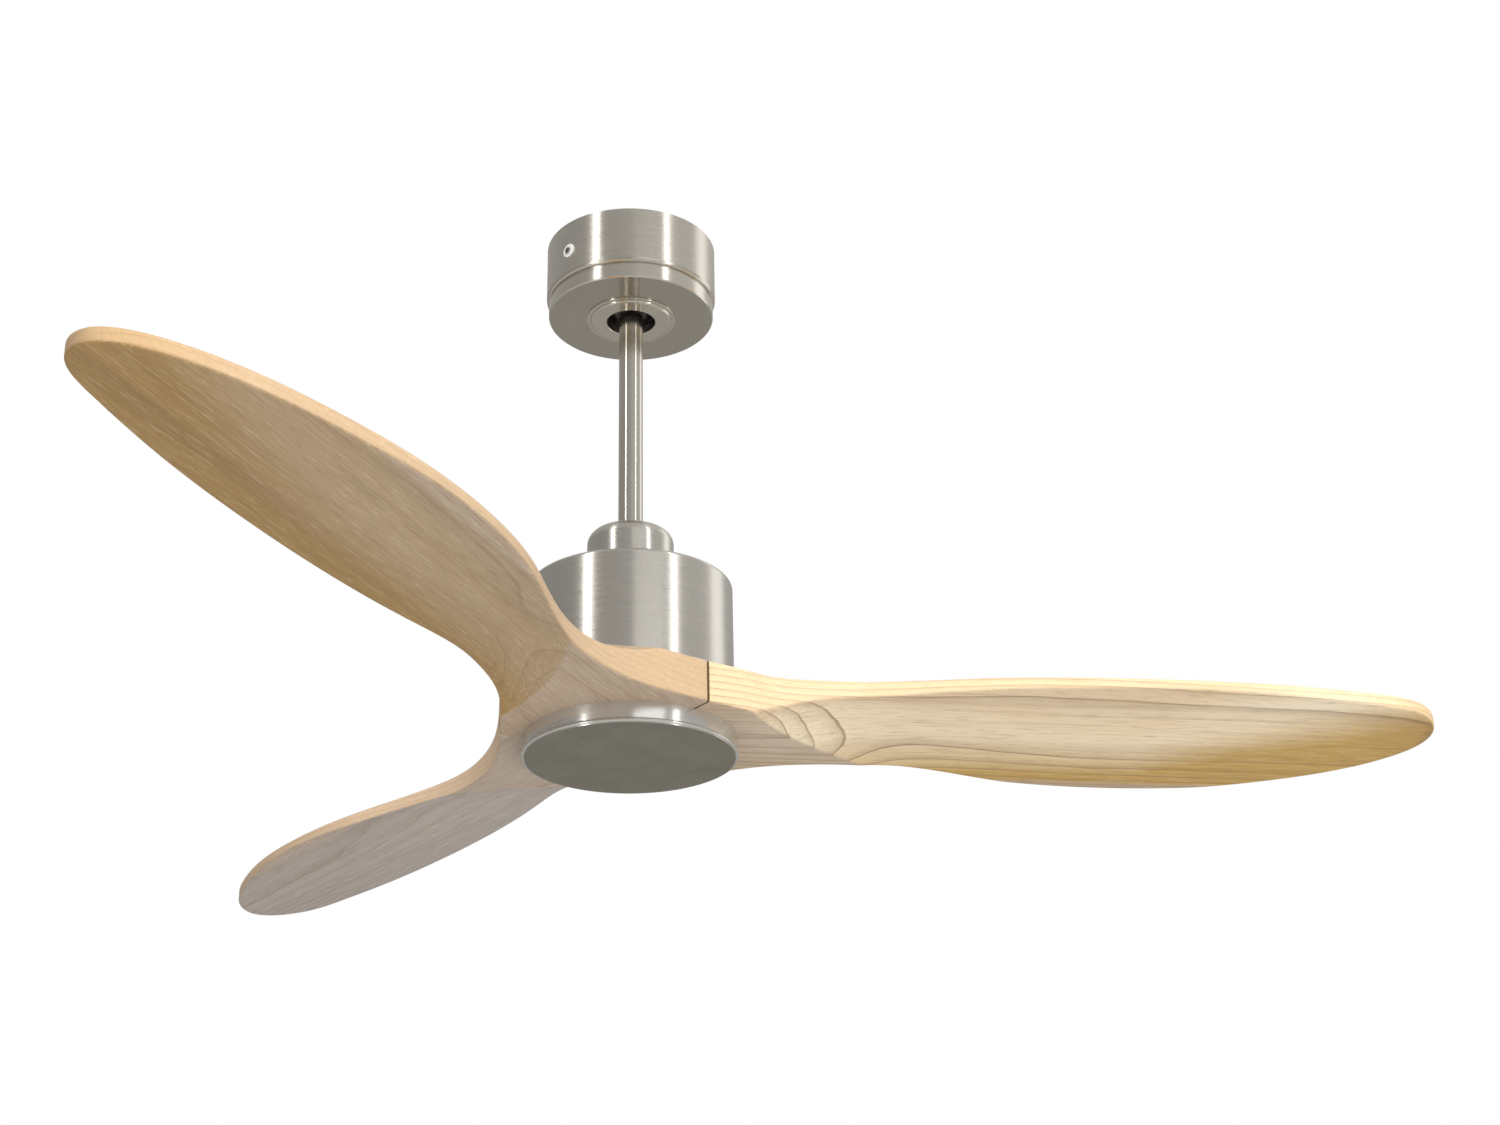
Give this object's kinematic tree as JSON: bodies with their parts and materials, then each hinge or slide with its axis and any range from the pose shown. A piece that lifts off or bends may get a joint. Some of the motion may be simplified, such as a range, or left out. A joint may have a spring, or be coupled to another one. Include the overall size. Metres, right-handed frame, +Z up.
{
  "type": "ceiling fan",
  "caption": "Ceiling fan with carved wooden propeller blades on a brushed metal motor, short downrod and round canopy; hangs on a ball and spins freely.",
  "frame": {"origin": "centre of the bracket's ceiling face, on the fan's axis", "axes": "+Z up into the ceiling, the fan hangs along -Z; +X along the first blade"},
  "size_m": [1.0164, 1.1363, 0.46],
  "materials": {
    "brushed_nickel": "brushed, satin",
    "wood": "clear satin lacquer on light wood",
    "plain_steel": "zinc plated",
    "screw_steel": "plated",
    "black_plastic": "moulded, fine texture",
    "white_nylon": "moulded",
    "circuit_board": "solder resist",
    "wire_sleeve": "smooth sleeve",
    "lamination": "stacked sheet",
    "magnet": "sintered",
    "copper": "enamelled winding"
  },
  "bodies": {
    "canopy_mount": {"ceiling_bracket": "plain_steel", "canopy": "brushed_nickel", "canopy_cover": "brushed_nickel", "canopy_trim_ring": "brushed_nickel", "canopy_screws": "screw_steel", "canopy_washers": "white_nylon", "receiver_case": "black_plastic", "receiver_lid": "black_plastic", "receiver_board": "circuit_board", "terminal_block": "white_nylon"},
    "liner": {"socket_liner": "black_plastic"},
    "drop": {"hanger_ball": "black_plastic", "ball_cross_pin": "screw_steel", "ball_set_screw": "screw_steel", "downrod": "brushed_nickel", "lead_wires": "wire_sleeve", "lead_plug": "black_plastic", "motor_coupling": "plain_steel", "clevis_pin": "screw_steel", "r_clip": "screw_steel", "coupling_set_screws": "screw_steel", "coupling_cover": "brushed_nickel", "motor_housing": "brushed_nickel", "housing_screws": "screw_steel", "housing_nuts": "screw_steel", "stator_shaft": "plain_steel", "shaft_clip": "screw_steel", "stator_core": "lamination", "stator_coils": "copper"},
    "rotor": {"rotor_shell": "plain_steel", "rotor_lid": "plain_steel", "rotor_magnets": "magnet", "lower_bearing": "plain_steel", "upper_bearing": "plain_steel", "blade_flange": "plain_steel", "flange_screws": "screw_steel", "blade_1": "wood", "blade_2": "wood", "blade_3": "wood", "clamp_plate": "plain_steel", "blade_screws": "screw_steel", "cap_stud": "screw_steel", "cap_boss": "screw_steel", "bottom_cap": "brushed_nickel"}
  },
  "joints": [
    {"name": "hang_swing_x", "type": "hinge", "parent": "canopy_mount", "child": "liner", "pos_m": [0, 0, -0.04], "axis": [1, 0, 0], "range_deg": [-12, 12]},
    {"name": "hang_swing_y", "type": "hinge", "parent": "liner", "child": "drop", "pos_m": [0, 0, -0.04], "axis": [0, 1, 0], "range_deg": [-12, 12]},
    {"name": "rotor_spin", "type": "hinge", "parent": "drop", "child": "rotor", "pos_m": [0, 0, -0.411], "axis": [0, 0, 1], "continuous": true}
  ]
}
